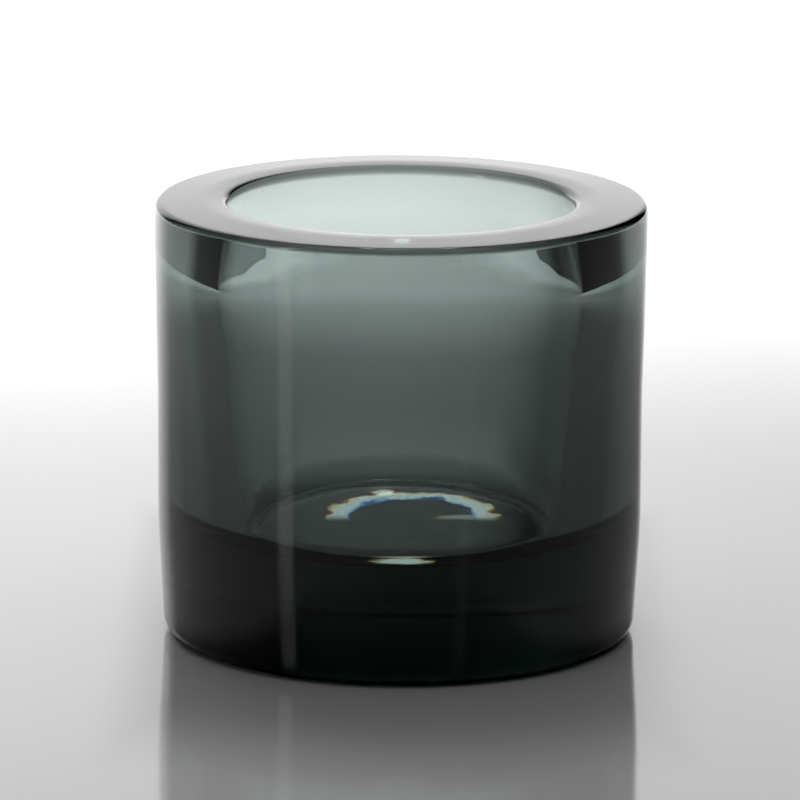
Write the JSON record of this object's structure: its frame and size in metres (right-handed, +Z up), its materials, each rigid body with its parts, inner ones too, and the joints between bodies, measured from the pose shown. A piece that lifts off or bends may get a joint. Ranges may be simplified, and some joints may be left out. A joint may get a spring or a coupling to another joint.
{
  "type": "tealight holder",
  "caption": "Heavy round cup of tinted clear glass with a domed rim and a tapered well that holds one tealight candle.",
  "frame": {"origin": "middle of the underside, in the plane of the surface the cup stands on", "axes": "+Z up the axis of the cup, out of its mouth; the cup is round, so X and Y are any two directions across it"},
  "size_m": [0.067, 0.067, 0.06],
  "materials": {
    "tinted_glass": "fire-polished clear grey-green glass"
  },
  "bodies": {
    "root": {"glass_cup": "tinted_glass"}
  },
  "joints": []
}
